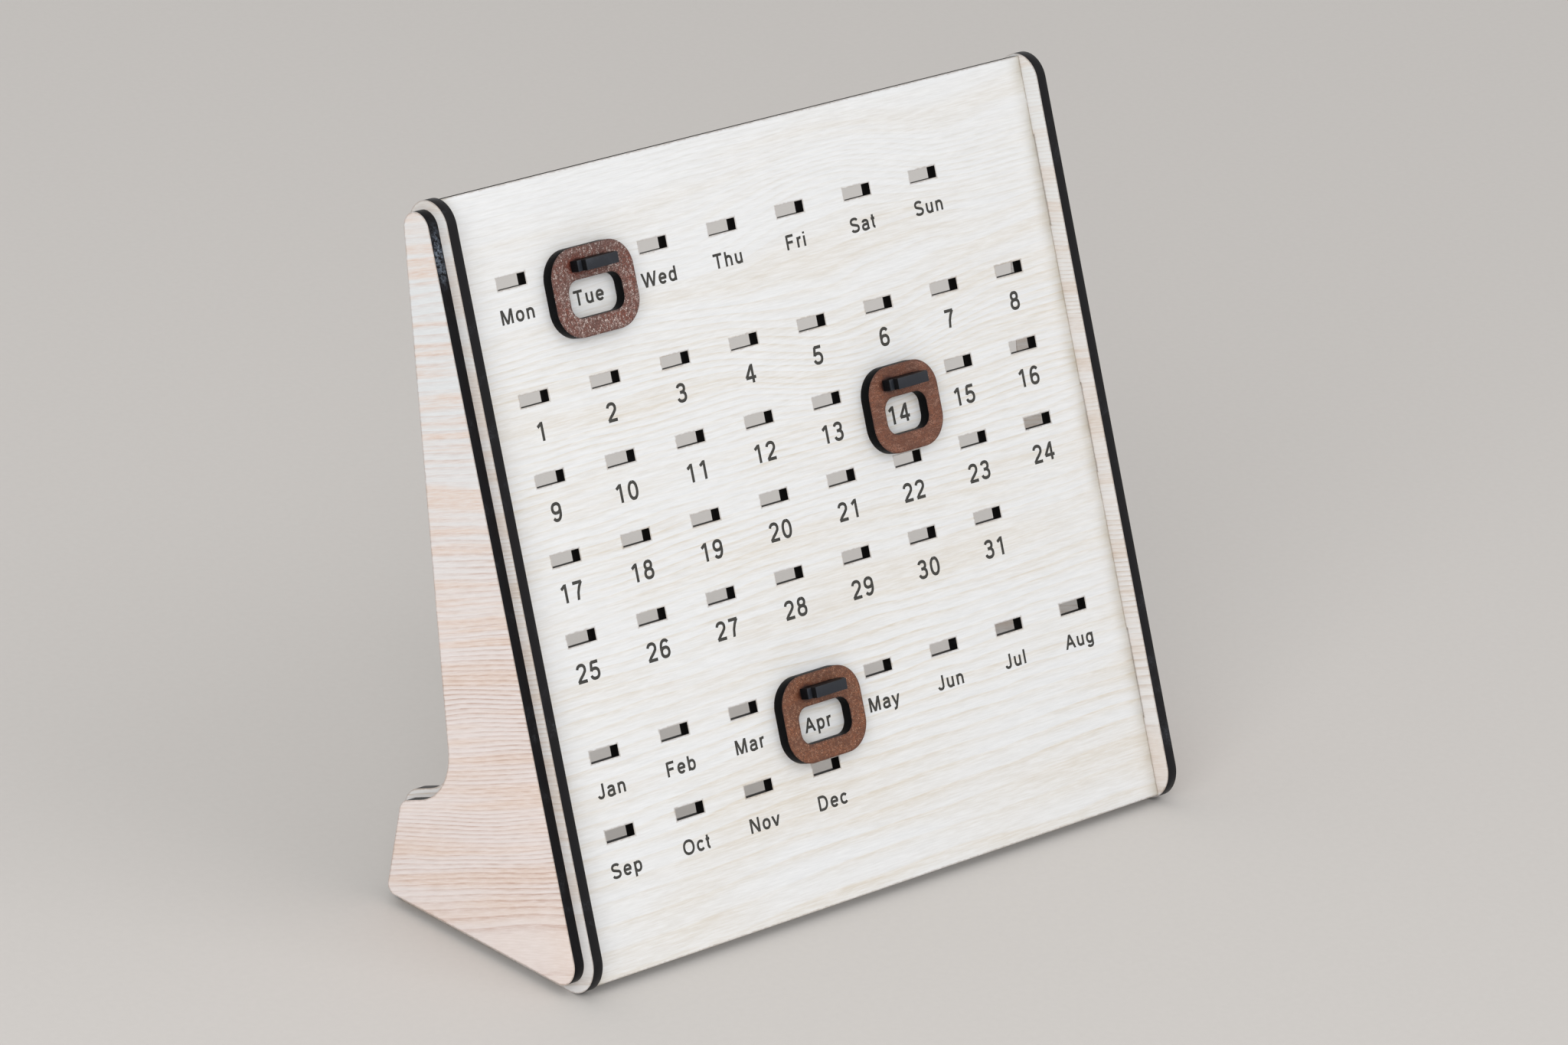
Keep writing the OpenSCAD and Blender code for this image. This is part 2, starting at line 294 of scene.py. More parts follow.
# %% Woodgrain melamine
def woodgrain_melamine(name, along, seed, rings, change, streak, heartwood, sapwood):
    """Laminate with a printed plank. along is "X" or "Y": the grain runs to the reader's right
    or out of the panel. rings holds what growth_rings asks for. change gives the two
    distances, past the heart's depth, between which the heartwood turns to sapwood. streak has
    the streaks' width, colour and levels. heartwood and sapwood have the colours of their
    ground and latewood, and how strong their lines and streaks are."""
    material, tree, shader = start_material(name, IOR=1.5, Specular_IOR_Level=0.4)
    place = add(tree, "TexCoord").outputs["Object"]
    # turned upright, so that X runs right, Y runs through the panel and Z up its slope
    upright = add(tree, "Mapping", {"Vector": place, "Rotation": (LEAN, 0, 0)}).outputs[0]
    distance, season = growth_rings(tree, upright, seed, **rings)

    # age: 0 in the heartwood, 1 in the sapwood
    starts, ends = rings["depth"] + change[0], rings["depth"] + change[1]
    age = add(tree, "MapRange", {"Value": distance, "From Min": starts, "From Max": ends},
              interpolation_type="SMOOTHSTEP").outputs[0]
    fading = add(tree, "MapRange", {"Value": age, "To Min": heartwood["lines"],
                                    "To Max": sapwood["lines"]})
    lines = latewood_lines(tree, upright, seed, season, fading.outputs[0])
    growing = add(tree, "MapRange", {"Value": age, "To Min": heartwood["streaks"],
                                     "To Max": sapwood["streaks"]})
    wash = warm_streaks(tree, upright, seed, distance, streak["width"], streak["start"],
                        streak["full"])
    wash = add(tree, "Math", {0: wash, 1: growing.outputs[0]}, operation="MULTIPLY").outputs[0]

    # fibres: short bleached marks, drawn a little wider than real, so that they show; they
    # break up the lines and the streaks
    fibre_length, fibre_width = 6 * MM, 0.4 * MM
    lengthways = [1 / fibre_width] * 3
    lengthways["XY".index(along)] = 1 / fibre_length
    fibre_place = add(tree, "Mapping", {"Vector": upright, "Scale": lengthways})
    fibre = add(tree, "TexNoise", {"Vector": fibre_place.outputs[0], "Scale": 1.0, "Detail": 3.0,
                                   "Roughness": 0.65}).outputs["Fac"]
    worn = add(tree, "MapRange", {"Value": fibre, "From Min": 0.35, "From Max": 0.65,
                                  "To Min": 0.55, "To Max": 1.35}).outputs[0]
    wash = add(tree, "Math", {0: wash, 1: worn}, operation="MULTIPLY", use_clamp=True)
    lines = add(tree, "Math", {0: lines, 1: worn}, operation="MULTIPLY", use_clamp=True)

    ground = add(tree, "Mix", {0: age, 6: colour(heartwood["ground"]),
                               7: colour(sapwood["ground"])}, data_type="RGBA")
    latewood = add(tree, "Mix", {0: age, 6: colour(heartwood["latewood"]),
                                 7: colour(sapwood["latewood"])}, data_type="RGBA")
    warmed = add(tree, "Mix", {0: wash.outputs[0], 6: ground.outputs[2],
                               7: colour(streak["warm"])}, data_type="RGBA")
    printed = add(tree, "Mix", {0: lines.outputs[0], 6: warmed.outputs[2],
                                7: latewood.outputs[2]}, data_type="RGBA")

    # and all over the print the fibres are grey and white by turns
    bleach = add(tree, "MapRange", {"Value": fibre, "From Min": 0.25, "From Max": 0.75,
                                    "To Min": 1.05, "To Max": 0.93})
    fibrous = add(tree, "VectorMath", {0: printed.outputs[2], "Scale": bleach.outputs[0]},
                  operation="SCALE")
    browned = scorched(tree, fibrous.outputs[0], "#7A6148", grain=1.1 * MM, start=0.35, full=1.0,
                       most=0.45)
    tree.links.new(browned, shader.inputs["Base Color"])

    # the matt plate leaves a faint tooth that follows the fibres
    tooth_height = 0.02 * MM
    rough = add(tree, "MapRange", {"Value": fibre, "To Min": 0.46, "To Max": 0.6})
    tree.links.new(rough.outputs[0], shader.inputs["Roughness"])
    tooth = add(tree, "Bump", {"Height": fibre, "Strength": 0.25, "Distance": tooth_height})
    tree.links.new(tooth.outputs[0], shader.inputs["Normal"])
    return material


# %% [markdown]
# The panel shows a slow grain, with a knot between the weekdays and the days. On the outer
# sides the rings are narrow and much darker, and on the inner ones they are in between. The
# inner sides' ground is painted a little greyer than the others', as painted shade.

# %% Three prints
KNOT = on_panel(28 * MM, 147 * MM)
KNOT_SIZE = (58 * MM, 50 * MM, 45 * MM)
panel_face = woodgrain_melamine(
    "white_woodgrain_melamine", along="X", seed=4.0,
    rings=dict(heart=-40 * MM, depth=150 * MM, ring=1.5 * MM, wander_height=11 * MM,
               knots=[(KNOT, KNOT_SIZE, 0.42)]),
    change=(70 * MM, 130 * MM), streak=dict(width=4 * MM, warm="#E5DED3", start=0.42, full=0.75),
    heartwood=dict(ground="#EDEEEF", latewood="#E2DACD", lines=1.0, streaks=0.5),
    sapwood=dict(ground="#EEEFF0", latewood="#DFDDD9", lines=0.5, streaks=0.35))
side_face = woodgrain_melamine(
    "white_woodgrain_melamine_sides", along="Y", seed=9.0,
    rings=dict(heart=-2 * MM, depth=45 * MM, ring=0.5 * MM, wander_height=7 * MM, widening=1.2),
    change=(25 * MM, 115 * MM), streak=dict(width=2.4 * MM, warm="#E9D6CA", start=0.42, full=0.64),
    heartwood=dict(ground="#ECE3E0", latewood="#C2A090", lines=1.0, streaks=0.8),
    sapwood=dict(ground="#E6E9EB", latewood="#D3B5A5", lines=0.55, streaks=0.7))
# the inner sides' ground is painted greyer: painted shade
shaded_inner_face = woodgrain_melamine(
    "white_woodgrain_melamine_inner_sides_shaded", along="Y", seed=5.0,
    rings=dict(heart=-2 * MM, depth=45 * MM, ring=1.0 * MM, wander_height=7 * MM),
    change=(60 * MM, 150 * MM), streak=dict(width=3.5 * MM, warm="#DDCFC3", start=0.4, full=0.62),
    heartwood=dict(ground="#E6E4E3", latewood="#CBBBAC", lines=1.0, streaks=0.7),
    sapwood=dict(ground="#E4E5E5", latewood="#D5CEC8", lines=0.6, streaks=0.5))


# %% [markdown]
# ## Marks laid over a finish
#
# Some marks lie in single places: ash that the laser left on a cut edge, burns beside a slot
# with painted shade round the peg's collar, and painted shade where the panel runs into the
# sides. Each is a colour laid over a finished material. How thick it lies is the output of some
# nodes.


# %% Marks laid over a finish
def lay_over(material, amount, hex_code):
    """Lays a colour over a material's own. amount is a node's output, from 0 to 1."""
    tree = material.node_tree
    base = next(n for n in tree.nodes if n.type == "BSDF_PRINCIPLED").inputs["Base Color"]
    mixed = add(tree, "Mix", {0: amount, 6: base.links[0].from_socket, 7: colour(hex_code)},
                data_type="RGBA")
    tree.links.new(mixed.outputs[2], base)
    print(f"laid {hex_code} over {material.name}")


# %% [markdown]
# Painted shade lies on the panel's face at its ends, where it runs into the sides: a soft
# grey-brown haze that comes and goes.


# %% Painted shade at the panel's ends
def smoke_stains(material, end, width, shade_colour):
    """Paints shade over a material's own colour in the last width before each end of the panel, at
    x = +-end.
    """
    tree = material.node_tree
    place = add(tree, "TexCoord").outputs["Object"]
    aside = add(tree, "Math", {0: add(tree, "SeparateXYZ", {0: place}).outputs["X"]},
                operation="ABSOLUTE")
    near = add(tree, "MapRange", {"Value": aside.outputs[0], "From Min": end - width,
                                  "From Max": end})
    nearer = add(tree, "Math", {0: near.outputs[0], 1: 2.0}, operation="POWER")
    blotch_size = 9 * MM
    shade_blotches = add(tree, "TexNoise", {"Vector": place, "Scale": 1 / blotch_size, "Detail": 3.0})
    thick = add(tree, "MapRange", {"Value": shade_blotches.outputs["Fac"], "From Min": 0.3,
                                   "From Max": 0.7, "To Min": 0.25, "To Max": 0.7})
    amount = add(tree, "Math", {0: nearer.outputs[0], 1: thick.outputs[0]}, operation="MULTIPLY")
    # the painted shade goes over the laminate's own colour
    lay_over(material, amount.outputs[0], shade_colour)


smoke_stains(panel_face, end=reach("right_inner_side", RIGHT)[0], width=6.5 * MM, shade_colour="#A3987F")


# %% [markdown]
# ## Charred cut edge
#
# A laser chars fibreboard to a satin black. The beam pulses, so the edge has fine ribs
# across the board's thickness, and smoke leaves grey, dusty patches. The ribs are a noise
# stretched along the thickness, which is why the material is told that direction.


# %% Charred cut edge
def charred_fibreboard(name, through, black, ash, sheen, seed):
    """Laser-cut edge. through is the axis of the board's thickness in the upright frame:
    "X", "Y" out of the panel, or "Z" up its slope. sheen is the shader's specular level, and
    seed bends the patches of ash."""
    material, tree, shader = start_material(name, IOR=1.5, Specular_IOR_Level=sheen)
    place = add(tree, "TexCoord").outputs["Object"]
    upright = add(tree, "Mapping", {"Vector": place, "Rotation": (LEAN, 0, 0)}).outputs[0]

    # ribs 0.45 mm apart; the real pulses are finer than this, but would not show
    rib_pitch, rib_length, rib_depth = 0.45 * MM, 6 * MM, 0.05 * MM
    ribs_way = [1 / rib_pitch] * 3
    ribs_way["XYZ".index(through)] = 1 / rib_length
    rib_place = add(tree, "Mapping", {"Vector": upright, "Scale": ribs_way})
    ribs = add(tree, "TexNoise", {"Vector": rib_place.outputs[0], "Scale": 1.0, "Detail": 2.0})

    # ash: patches of a centimetre, broken up by a fine grit
    patch_size, grit_size = 11 * MM, 0.5 * MM
    patches = add(tree, "TexNoise", {"Vector": place, "Scale": 1 / patch_size, "Detail": 4.0,
                                     "Roughness": 0.65, "Distortion": seed})
    dusty = add(tree, "MapRange", {"Value": patches.outputs["Fac"], "From Min": 0.52,
                                   "From Max": 0.8, "To Max": 0.85},
                interpolation_type="SMOOTHSTEP")
    grit = add(tree, "TexNoise", {"Vector": place, "Scale": 1 / grit_size, "Detail": 3.0})
    specks = add(tree, "MapRange", {"Value": grit.outputs["Fac"], "From Min": 0.35,
                                    "From Max": 0.7})
    dust = add(tree, "Math", {0: dusty.outputs[0], 1: specks.outputs[0]}, operation="MULTIPLY")
    tone = add(tree, "Mix", {0: dust.outputs[0], 6: colour(black), 7: colour(ash)},
               data_type="RGBA")
    tree.links.new(tone.outputs[2], shader.inputs["Base Color"])

    # dust is duller than the bare char
    rough = add(tree, "MapRange", {"Value": dust.outputs[0], "To Min": 0.42, "To Max": 0.7})
    tree.links.new(rough.outputs[0], shader.inputs["Roughness"])
    relief = add(tree, "Bump", {"Height": ribs.outputs["Fac"], "Strength": 0.5,
                                "Distance": rib_depth})
    tree.links.new(relief.outputs[0], shader.inputs["Normal"])
    return material


panel_edge = charred_fibreboard(
    "charred_fibreboard_panel", "Y", black="#0E0D0D", ash="#26272A", sheen=0.02, seed=0.3)
inner_edge = charred_fibreboard(
    "charred_fibreboard_inner_sides", "X", black="#1B1A1C", ash="#474A51", sheen=0.14, seed=0.6)
# the outer sides' char is a darker copy of the inner sides': painted shade
shaded_outer_edge = charred_fibreboard(
    "charred_fibreboard_outer_sides_shaded", "X", black="#121114", ash="#3A3C42", sheen=0.12, seed=0.6)
ring_edge = charred_fibreboard(
    "charred_fibreboard_rings", "Y", black="#0B0B0C", ash="#212125", sheen=0.04, seed=0.4)
# the pegs' fronts are the char painted a lighter slate: painted light and sheen; their walls are
# painted near black: painted shade
lit_peg_front = charred_fibreboard(
    "charred_fibreboard_peg_fronts_lit", "Z", black="#272A31", ash="#555B66", sheen=0.3, seed=0.9)
shaded_peg_wall = charred_fibreboard(
    "charred_fibreboard_peg_walls_shaded", "Z", black="#111113", ash="#24252A", sheen=0.06, seed=0.9)


# %% [markdown]
# One patch of pale blue-grey ash clings to the front edge of the left outer side, near its top.


# %% Ash patch
def ash_patch(material, spot, size, ash):
    """A patch of ash on a charred edge, round the point spot, broken up by a grit."""
    tree = material.node_tree
    place = add(tree, "TexCoord").outputs["Object"]
    grit_size = 0.9 * MM
    grit = add(tree, "TexNoise", {"Vector": place, "Scale": 1 / grit_size, "Detail": 5.0,
                                  "Roughness": 0.75})
    grains = add(tree, "MapRange", {"Value": grit.outputs["Fac"], "From Min": 0.44,
                                    "From Max": 0.74})
    amount = add(tree, "Math", {0: near_spot(tree, spot, size), 1: grains.outputs[0]},
                 operation="MULTIPLY")
    lay_over(material, amount.outputs[0], ash)


BELOW_TOP = 12 * MM
ASH_SIZE = (2.2 * MM, 3 * MM, 10 * MM)
ash_spot = (RIGHT * halfway("left_outer_side", RIGHT)
            + OUT * reach("left_outer_side", OUT)[1]
            + UP * (reach("left_outer_side", UP)[1] - BELOW_TOP))
ash_patch(shaded_outer_edge, ash_spot, ASH_SIZE, "#8793A3")


# %% [markdown]
# ## Leather-look laminate
#
# The rings are cut from the same board with a brown face that is embossed like leather.
# Its pebbles are about half a millimetre across, and those that happen to face a light are
# painted pale, as painted glints, so the face glitters softly. Voronoi cells give the pebbles:
# their borders are the creases, painted darker as painted shade, and a random value for each
# cell says how much it shines. The weekday ring has coarser pebbles than the other two, and
# its glints are painted stronger and paler, for the light that falls where it stands.


# %% Leather-look laminate
def leather_melamine(name, pebble, string, brown, mottle, crease_shade, shine, glitter, seed):
    """Embossed brown laminate. pebble is the size of its pebbles, and string how wide and high
    the strings of shining pebbles are. Its colour drifts between brown and mottle, bent by
    seed, and glitter is how far a pebble goes to the colour shine at the most."""
    material, tree, shader = start_material(
        name, IOR=1.5, Specular_IOR_Level=0.45, Coat_Weight=0.1, Coat_Roughness=0.35)
    place = add(tree, "TexCoord").outputs["Object"]
    # a noise bends the cells, so that the pebbles aren't straight-sided
    bend_length, bend_by = 2 * pebble, 0.7 * pebble
    bent = add(tree, "TexNoise", {"Vector": place, "Scale": 1 / bend_length, "Detail": 2.0})
    push = add(tree, "VectorMath", {0: bent.outputs["Color"], 1: (bend_by,) * 3, 2: place},
               operation="MULTIPLY_ADD")
    cells = {"Vector": push.outputs[0], "Scale": 1 / pebble, "Randomness": 1.0}
    border = add(tree, "TexVoronoi", cells, feature="DISTANCE_TO_EDGE")
    crease_width = 0.28  # as a share of a pebble
    domes = add(tree, "MapRange", {"Value": border.outputs["Distance"],
                                   "From Max": crease_width}, interpolation_type="SMOOTHSTEP")
    per_pebble = add(tree, "SeparateColor", {0: add(tree, "TexVoronoi", cells).outputs["Color"]})

    # the brown drifts over stretches of some millimetres
    drift_size = 5 * MM
    drift = add(tree, "TexNoise", {"Vector": place, "Scale": 1 / drift_size, "Detail": 4.0,
                                   "Roughness": 0.6, "Distortion": seed})
    patchy = add(tree, "MapRange", {"Value": drift.outputs["Fac"], "From Min": 0.35,
                                    "From Max": 0.65})
    ground = add(tree, "Mix", {0: patchy.outputs[0], 6: colour(brown), 7: colour(mottle)},
                 data_type="RGBA")

    # pebbles shine in strings, some more than others
    string_place = add(tree, "Mapping", {
        "Vector": place, "Rotation": (-LEAN, 0, 0), "Scale": (string[0], string[0], string[1])},
        vector_type="TEXTURE")
    strings = add(tree, "TexNoise", {"Vector": string_place.outputs[0], "Scale": 1.0,
                                     "Detail": 1.0})
    lit = add(tree, "MapRange", {"Value": strings.outputs["Fac"], "From Min": 0.42,
                                 "From Max": 0.66, "To Max": glitter},
              interpolation_type="SMOOTHSTEP")
    bright = add(tree, "MapRange", {"Value": per_pebble.outputs[0], "To Min": 0.4, "To Max": 1.0})
    glint = add(tree, "Math", {0: lit.outputs[0], 1: bright.outputs[0]}, operation="MULTIPLY")
    hide = add(tree, "Mix", {0: glint.outputs[0], 6: ground.outputs[2], 7: colour(shine)},
               data_type="RGBA")
    # the creases are painted darker: painted shade
    crease_shaded = add(tree, "Mix", {0: domes.outputs[0], 6: colour(crease_shade), 7: hide.outputs[2]},
                  data_type="RGBA")

    # the cut has scorched the face dark red along the edges
    burnt = scorched(tree, crease_shaded.outputs[2], "#3A1A12", grain=0.9 * MM, start=0.25, full=0.9,
                     most=0.4)
    tree.links.new(burnt, shader.inputs["Base Color"])

    # the embossing: domes with a fine grain of their own
    dome_height, grain_size = 0.12 * pebble, pebble / 0.7
    rough = add(tree, "MapRange", {"Value": per_pebble.outputs[1], "To Min": 0.35, "To Max": 0.62})
    tree.links.new(rough.outputs[0], shader.inputs["Roughness"])
    fine = add(tree, "TexNoise", {"Vector": place, "Scale": 1 / grain_size, "Detail": 2.0})
    height = add(tree, "Math", {0: domes.outputs[0], 1: fine.outputs["Fac"]}, operation="ADD")
    emboss = add(tree, "Bump", {"Height": height.outputs[0], "Strength": 0.6,
                                "Distance": dome_height})
    tree.links.new(emboss.outputs[0], shader.inputs["Normal"])
    return material


# the weekday ring's glints are painted stronger and paler than the others': painted light
weekday_face = leather_melamine(
    "leather_melamine_weekday", pebble=0.5 * MM, string=(0.55 * MM, 0.85 * MM), brown="#894A39",
    mottle="#7C5B54", crease_shade="#593931", shine="#F4E6DF", glitter=0.78, seed=0.2)
day_face = leather_melamine(
    "leather_melamine_day", pebble=0.4 * MM, string=(2.5 * MM, 0.6 * MM), brown="#744631",
    mottle="#985C40", crease_shade="#5C3627", shine="#C99C86", glitter=0.5, seed=0.5)
month_face = leather_melamine(
    "leather_melamine_month", pebble=0.4 * MM, string=(0.8 * MM, 0.9 * MM), brown="#75462F",
    mottle="#9C5D3A", crease_shade="#5B3624", shine="#CC9D80", glitter=0.6, seed=0.8)

# %% [markdown]
# The beam enters a ring at the left end of its slot, so the face is burnt there, rust red a
# little out from the peg's collar. Right round the collar the near-black is partly soot and
# partly painted shade from the collar.

# %% Slot burns and painted shade round the collars
BURN_INSET = 2.2 * MM  # from the peg's left end to the middle of the burn
RUST_SIZE = (4.4 * MM, 3 * MM, 3.0 * MM)
SOOT_AND_SHADE_SIZE = (3.3 * MM, 3 * MM, 2.3 * MM)
SOOT_AND_SHADE = "#150C0A"
for marker, face, rust in (("weekday", weekday_face, "#6E2812"), ("day", day_face, "#4C2216"),
                           ("month", month_face, "#552814")):
    peg = marker + "_peg"
    burn_spot = (RIGHT * (reach(peg, RIGHT)[0] + BURN_INSET) + UP * halfway(peg, UP)
                 + OUT * reach(marker + "_ring", OUT)[1])
    rusty = near_spot(face.node_tree, burn_spot, RUST_SIZE, core=0.5, strength=0.9)
    lay_over(face, rusty, rust)
    # near black round the collar: soot, and painted shade from the collar
    soot_and_shade = near_spot(face.node_tree, burn_spot, SOOT_AND_SHADE_SIZE, core=0.6, strength=0.85)
    lay_over(face, soot_and_shade, SOOT_AND_SHADE)


# %% [markdown]
# ## Burnt engraving
#
# The labels are engraved by the same laser at low power. It sweeps line by line, burns
# through the printed paper and leaves a dull, brownish black floor.


# %% Burnt engraving
def burnt_engraving(name, dark, pale):
    """Floor and walls of the engraved labels, dark where a sweep has burnt deepest."""
    material, tree, shader = start_material(name, IOR=1.45, Specular_IOR_Level=0.25, Roughness=0.85)
    place = add(tree, "TexCoord").outputs["Object"]
    upright = add(tree, "Mapping", {"Vector": place, "Rotation": (LEAN, 0, 0)}).outputs[0]
    # the sweeps lie 0.1 mm apart; they are drawn at 0.25 mm, so that they show
    sweep_pitch, sweep_length = 0.25 * MM, 4 * MM
    sweep_place = add(tree, "Mapping", {
        "Vector": upright, "Scale": (1 / sweep_length, 1 / sweep_length, 1 / sweep_pitch)})
    sweeps = add(tree, "TexNoise", {"Vector": sweep_place.outputs[0], "Scale": 1.0, "Detail": 2.0})
    tone = add(tree, "Mix", {0: sweeps.outputs["Fac"], 6: colour(dark), 7: colour(pale)},
               data_type="RGBA")
    tree.links.new(tone.outputs[2], shader.inputs["Base Color"])
    return material


engraving = burnt_engraving("burnt_engraving", dark="#393836", pale="#595854")


# %% [markdown]
# ## From a frame solid to a cut board
#
# The frame's solids already have the true outline, so each visible piece starts as a
# copy of one. Four steps turn it into a cut board:
#
# 1. weld the copy and dissolve its triangles back to whole faces;
# 2. break the sharp edges with a narrow bevel, because a laser leaves a soft burnt arris;
# 3. set in a fringe along every cut and mark its outer points, for the scorch marks;
# 4. give the laminate to the faces that look through the thickness, with the arris, which
#    is browned, and the char to everything else.
#
# Modelling each outline again by hand would only risk a misfit.

# %% Whole faces and soft edges
WELD = 0.002 * MM  # points nearer than this are one
FLAT = math.radians(0.5)  # faces that turn less than this are one
SHARP = math.radians(25)  # edges that turn more than this are sharp
ARRIS = 0.06 * MM


def whole_faces(node):
    """A bmesh copy of a frame node, welded, with its triangles dissolved to whole faces."""
    mesh = bmesh.new()
    mesh.from_mesh(frame["nodes"][node].data)
    bmesh.ops.remove_doubles(mesh, verts=mesh.verts, dist=WELD)
    bmesh.ops.dissolve_limit(mesh, angle_limit=FLAT, verts=mesh.verts, edges=mesh.edges)
    mesh.normal_update()
    return mesh


def soften(mesh, width):
    """Bevels every sharp edge by width, which must stay under half the thinnest wall."""
    sharp = [e for e in mesh.edges if e.is_manifold and e.calc_face_angle() > SHARP]
    bmesh.ops.bevel(mesh, geom=sharp, offset=width, offset_type="OFFSET", segments=2, profile=0.5,
                    affect="EDGES", clamp_overlap=True)
    mesh.normal_update()


print(f"the arris is {ARRIS / MM:.2f} mm wide")

# %% [markdown]
# The fringe is set in with an inset, which keeps the rest of the face whole. Its outer
# points, on the arris, get the scorch attribute that the laminates read.

# %% Fringe along the cuts
FRINGE = 0.7 * MM
SAME_WAY = 0.999  # share of a normal along a direction, from which it counts as that direction


def broad_faces(mesh, way):
    """The faces that look along way or against it."""
    return [f for f in mesh.faces if abs(f.normal.dot(way)) > SAME_WAY]


def mark_fringe(mesh, way, width):
    """Sets a strip in from every border of the broad faces, and marks its outer points."""
    scorch = mesh.verts.layers.float.new(SCORCH)
    bmesh.ops.inset_region(mesh, faces=broad_faces(mesh, way), thickness=width, use_boundary=True,
                           use_even_offset=True)
    inside = set(broad_faces(mesh, way))
    for vert in mesh.verts:
        vert[scorch] = float(any(f not in inside for f in vert.link_faces))


print(f"the fringe is {FRINGE / MM:.1f} mm wide")

# %% [markdown]
# The bevel has two faces to an edge, turned 22.5 and 67.5 degrees away from the broad face,
# and both still count as laminate.

# %% Cut board
LAMINATE = 0.3  # share of a normal along the thickness, from which a face shows laminate


def shade(mesh):
    """Smooth shading that stops at the sharp edges."""
    mesh.normal_update()
    for face in mesh.faces:
        face.smooth = True
    for edge in mesh.edges:
        edge.smooth = len(edge.link_faces) == 2 and edge.calc_face_angle() < SHARP


def finished(mesh, name, materials, way):
    """Turns the bmesh into an object: materials[0] on its broad faces, materials[1] elsewhere."""
    shade(mesh)
    for face in mesh.faces:
        face.material_index = 0 if abs(face.normal.dot(way)) > LAMINATE else 1
    data = bpy.data.meshes.new(name)
    mesh.to_mesh(data)
    mesh.free()
    for material in materials:
        data.materials.append(material)
    piece = bpy.data.objects.new(name, data)
    bpy.context.scene.collection.objects.link(piece)
    return piece


def cut_board(node, body, materials, way, fringe=FRINGE):
    """A laser-cut board made from a frame node, which it replaces. materials[0] goes on the
    faces that look along way. fringe is the width of its scorch marks, if it has any."""
    mesh = whole_faces(node)
    soften(mesh, ARRIS)
    if fringe:
        mark_fringe(mesh, way, fringe)
    piece = finished(mesh, node + "_board", materials, way)
    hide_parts(node)
    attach(piece, body)
    print(f"{piece.name}: {len(piece.data.polygons)} faces")
    return piece


# %% [markdown]
# ## Stand
#
# Two side plates on each side: the inner one is larger and carries the panel's tabs, and
# the outer one, with the same outline drawn in all round, covers the tab ends. Their grain
# runs square to the front edge. A low rail joins the feet behind the panel.

# %% Stand
panel = cut_board("front_panel", "stand", [panel_face, panel_edge], OUT)
for layer, look in (("inner", [shaded_inner_face, inner_edge]), ("outer", [side_face, shaded_outer_edge])):
    cut_board(f"left_{layer}_side", "stand", look, RIGHT)
    cut_board(f"right_{layer}_side", "stand", look, RIGHT)
cut_board("foot_rail", "stand", [panel_face, panel_edge], Vector((0, 1, 0)))

# %% [markdown]
# ## Markers
#
# A ring is a thin board, seen from the front. A peg is cut from a slightly thinner one, and
# it stands on edge: what the reader sees is its charred cut edge, with the collar's step.
# The char is painted a lighter slate on the faces that look out of the panel, as painted
# light and sheen, and near black on the walls, as painted shade.

# %% Markers
for marker, face in (("weekday", weekday_face), ("day", day_face), ("month", month_face)):
    body = marker + "_marker"
    cut_board(marker + "_ring", body, [face, ring_edge], OUT)
    # painted light on the peg's front, painted shade on its walls
    cut_board(marker + "_peg", body, [lit_peg_front, shaded_peg_wall], OUT, fringe=0)

# %% [markdown]
# ## Lettering
#
# Plain numbers and short weekday and month names stand under the slots. An engraver draws
# such letters with one pen, so each glyph is a few strokes: straight lines, and bows that
# are part of an oval with slightly flattened sides. Lengths count in cap heights.
#
# Blender's own font would be quicker, but its figures are an old-style humanist cut, while
# engraving machines draw plain grotesque ones. The burn spreads a little past the pen.

# %% Pen and bows
PEN = 0.13
SPREAD = 0.11 * MM  # how far the burn goes past the pen, on each side
BASE = PEN / 2  # middle of a stroke on the base line
TOP = 1 - PEN / 2  # middle of a stroke that hangs from the cap height
WAIST = 0.66  # middle of a stroke at the top of the small letters
SMALL = 0.725  # where an upright of a small letter ends
TAIL = -0.28  # where an upright below the base line ends
WIDE = 0.777  # width of a figure and of most small letters, with the space round it


def bow(x, y, wide, high, start, end):
    """Points along an oval round (x, y) from one angle to another, in degrees. wide and high
    are half its sizes. Angles count anticlockwise from the right. The exponent flattens the
    oval's sides a little."""
    flatten, degrees_a_step = 2 / 2.25, 14
    steps = max(3, round(abs(end - start) / degrees_a_step))
    points = []
    for i in range(steps + 1):
        turn = math.radians(start + (end - start) * i / steps)
        across, along = math.cos(turn), math.sin(turn)
        points.append((x + wide * math.copysign(abs(across) ** flatten, across),
                       y + high * math.copysign(abs(along) ** flatten, along)))
    return points


print(len(bow(0, 0, 1, 1, 0, 360)), "points round an oval")

# %% [markdown]
# Many letters share their parts, so these come first: a stem on the left or the right, the
# bowl of b, d, g and p, the arch of h, n and u, and the 6, which the 9 turns round.

# %% Shared parts of letters
bowl_y = (WAIST + BASE) / 2  # middle of a bowl
bowl_h = (WAIST - BASE) / 2  # half its height
left_bowl = bow(0.365, bowl_y, 0.25, bowl_h, 90, 450)
right_bowl = bow(0.41, bowl_y, 0.25, bowl_h, 90, 450)
arch = bow(0.39, 0.42, 0.235, WAIST - 0.42, 180, 0) + [(0.625, 0)]
six = [bow(0.395, 0.31, 0.255, 0.31 - BASE, 90, 450), bow(0.42, 0.5, 0.285, TOP - 0.5, 42, 196)]


def left_stem(bottom, top):
    """The upright on the left of a letter."""
    return [(0.155, bottom), (0.155, top)]


def right_stem(bottom, top):
    """The upright on the right of a letter."""
    return [(0.62, bottom), (0.62, top)]


# %% [markdown]
# Each glyph is its width, with the space round it, and its strokes. A stroke is a list of
# points, from the base line up. Only the letters that the labels need are drawn.

